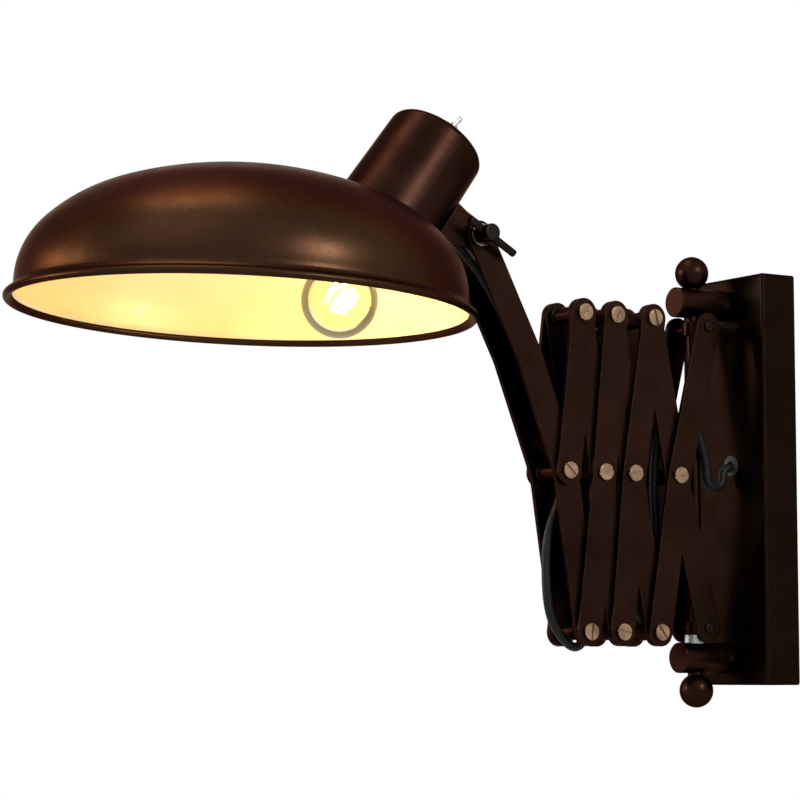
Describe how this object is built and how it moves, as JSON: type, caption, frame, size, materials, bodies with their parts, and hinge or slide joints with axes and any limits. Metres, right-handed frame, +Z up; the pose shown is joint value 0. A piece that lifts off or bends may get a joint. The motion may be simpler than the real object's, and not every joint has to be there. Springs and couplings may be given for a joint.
{
  "type": "accordion wall lamp",
  "caption": "Swing-arm wall lamp: a scissor arm on a swivel rod carries a bent arm with a tilting domed shade, lit bulb and toggle switch.",
  "frame": {"origin": "centre of the wall box's back, on the wall", "axes": "-Y out of the wall into the room, +Z up, +X to the side with the slotted screw heads"},
  "size_m": [0.27, 0.5117, 0.355],
  "materials": {
    "bronze": "satin dark bronze",
    "shade_bronze": "satin dark bronze, cream inside",
    "bright_steel": "nickel-plated",
    "black_steel": "blackened",
    "worn_brass": "aged, satin",
    "cable": "satin black sheath",
    "rubber": "matte",
    "clear_glass": "clear, lit",
    "black_plastic": "moulded"
  },
  "bodies": {
    "root": {"wall_plate": "bronze", "box_shell": "bronze", "box_screws": "bright_steel", "posts": "bronze", "post_studs": "bright_steel", "set_screws": "black_steel", "swivel_rod": "bronze", "ball_finials": "bronze", "thrust_washer": "bright_steel", "cable_grommet": "rubber", "terminal_block": "black_plastic", "cable_entry": "cable"},
    "swing": {"lower_trunnion": "bronze", "lower_pivot_screws": "black_steel", "cable_loop": "cable"},
    "slider": {"upper_slider": "bronze", "upper_pivot_screws": "black_steel"},
    "inner_1": {"inner_links_1": "bronze", "pivot_screws_inner_1": "worn_brass", "spacers_inner_1": "bronze", "cable_stage_1": "cable"},
    "outer_1": {"outer_links_1": "bronze", "pivot_screws_outer_1": "worn_brass", "spacers_outer_1": "bronze", "cable_stage_2": "cable"},
    "inner_2": {"inner_links_2": "bronze", "pivot_screws_inner_2": "worn_brass", "spacers_inner_2": "bronze", "cable_stage_3": "cable"},
    "outer_2": {"outer_links_2": "bronze", "pivot_screws_outer_2": "worn_brass", "spacers_outer_2": "bronze"},
    "outer_3": {"outer_links_3": "bronze", "pivot_screws_outer_3": "worn_brass", "spacers_outer_3": "bronze", "cable_arm": "cable"},
    "inner_3": {"inner_links_3": "bronze", "pivot_screws_inner_3": "worn_brass", "spacers_inner_3": "bronze"},
    "end_pair": {"end_links": "bronze"},
    "arm": {"lamp_arm": "bronze", "pivot_screws_arm": "worn_brass", "spacers_arm": "bronze", "friction_washers": "black_steel", "clamp_washer": "bright_steel", "clamp_nut": "bright_steel", "cable_head": "cable"},
    "clamp": {"clamp_bolt": "black_steel", "tommy_bar": "black_steel"},
    "head": {"knuckle_lug": "bronze", "neck_cup": "bronze", "shade": "shade_bronze", "lampholder": "black_plastic", "holder_bracket": "bronze", "holder_nipple": "bright_steel", "bulb_glass": "clear_glass", "bulb_cap": "bright_steel", "switch_body": "bright_steel", "switch_nut": "bright_steel"},
    "bat": {"switch_bat": "bright_steel"}
  },
  "joints": [
    {"name": "swing", "type": "hinge", "parent": "root", "child": "swing", "pos_m": [0, -0.05, 0], "axis": [0, 0, 1], "range_deg": [-50, 50], "deforming": ["cable_entry"]},
    {"name": "extend", "type": "hinge", "parent": "swing", "child": "inner_1", "pos_m": [0, -0.05, -0.0932], "axis": [1, 0, 0], "range_deg": [-1.3, 34], "deforming": ["cable_loop"]},
    {"name": "cross_1", "type": "hinge", "parent": "inner_1", "child": "outer_1", "pos_m": [0, -0.0739, 0.00095], "axis": [1, 0, 0], "range_deg": [-68.2, 2.8], "deforming": ["cable_stage_1"]},
    {"name": "slider_pin", "type": "hinge", "parent": "outer_1", "child": "slider", "pos_m": [0, -0.05, 0.0951], "axis": [1, 0, 0], "range_deg": [-1.5, 34.2]},
    {"name": "lower_pin_1", "type": "hinge", "parent": "outer_1", "child": "inner_2", "pos_m": [0, -0.0901, -0.09595], "axis": [1, 0, 0], "range_deg": [-2.8, 68.2], "deforming": ["cable_stage_2"]},
    {"name": "upper_pin_1", "type": "hinge", "parent": "inner_1", "child": "outer_2", "pos_m": [0, -0.093, 0.09785], "axis": [1, 0, 0], "range_deg": [-68.2, 2.8]},
    {"name": "upper_pin_2", "type": "hinge", "parent": "inner_2", "child": "outer_3", "pos_m": [0, -0.1221, 0.09785], "axis": [1, 0, 0], "range_deg": [-68.2, 2.8], "deforming": ["cable_stage_3"]},
    {"name": "cross_3", "type": "hinge", "parent": "outer_3", "child": "inner_3", "pos_m": [0, -0.1319, 0.00095], "axis": [1, 0, 0], "range_deg": [-2.8, 68.2]},
    {"name": "lower_pin_3", "type": "hinge", "parent": "outer_3", "child": "arm", "pos_m": [0, -0.144, -0.09595], "axis": [1, 0, 0], "range_deg": [-2.8, 68.2], "deforming": ["cable_arm"]},
    {"name": "cross_4", "type": "hinge", "parent": "arm", "child": "end_pair", "pos_m": [0, -0.1586, 0.00095], "axis": [1, 0, 0], "range_deg": [-68.2, 2.8]},
    {"name": "tilt", "type": "hinge", "parent": "arm", "child": "head", "pos_m": [0, -0.2211, 0.1395], "axis": [1, 0, 0], "range_deg": [-75, 32], "deforming": ["cable_head"]},
    {"name": "clamp_turn", "type": "hinge", "parent": "arm", "child": "clamp", "pos_m": [0, -0.2211, 0.1395], "axis": [1, 0, 0], "range_deg": [0, 180]},
    {"name": "switch", "type": "hinge", "parent": "head", "child": "bat", "pos_m": [0.017, -0.24509, 0.20032], "axis": [1, 0, 0], "range_deg": [0, 16]}
  ],
  "couplings": [
    {"joint": "cross_1", "follows": "extend", "ratio": -2},
    {"joint": "slider_pin", "follows": "extend", "ratio": 1},
    {"joint": "lower_pin_1", "follows": "extend", "ratio": 2},
    {"joint": "upper_pin_1", "follows": "extend", "ratio": -2},
    {"joint": "upper_pin_2", "follows": "extend", "ratio": -2},
    {"joint": "cross_3", "follows": "extend", "ratio": 2},
    {"joint": "lower_pin_3", "follows": "extend", "ratio": 2},
    {"joint": "cross_4", "follows": "extend", "ratio": -2}
  ]
}
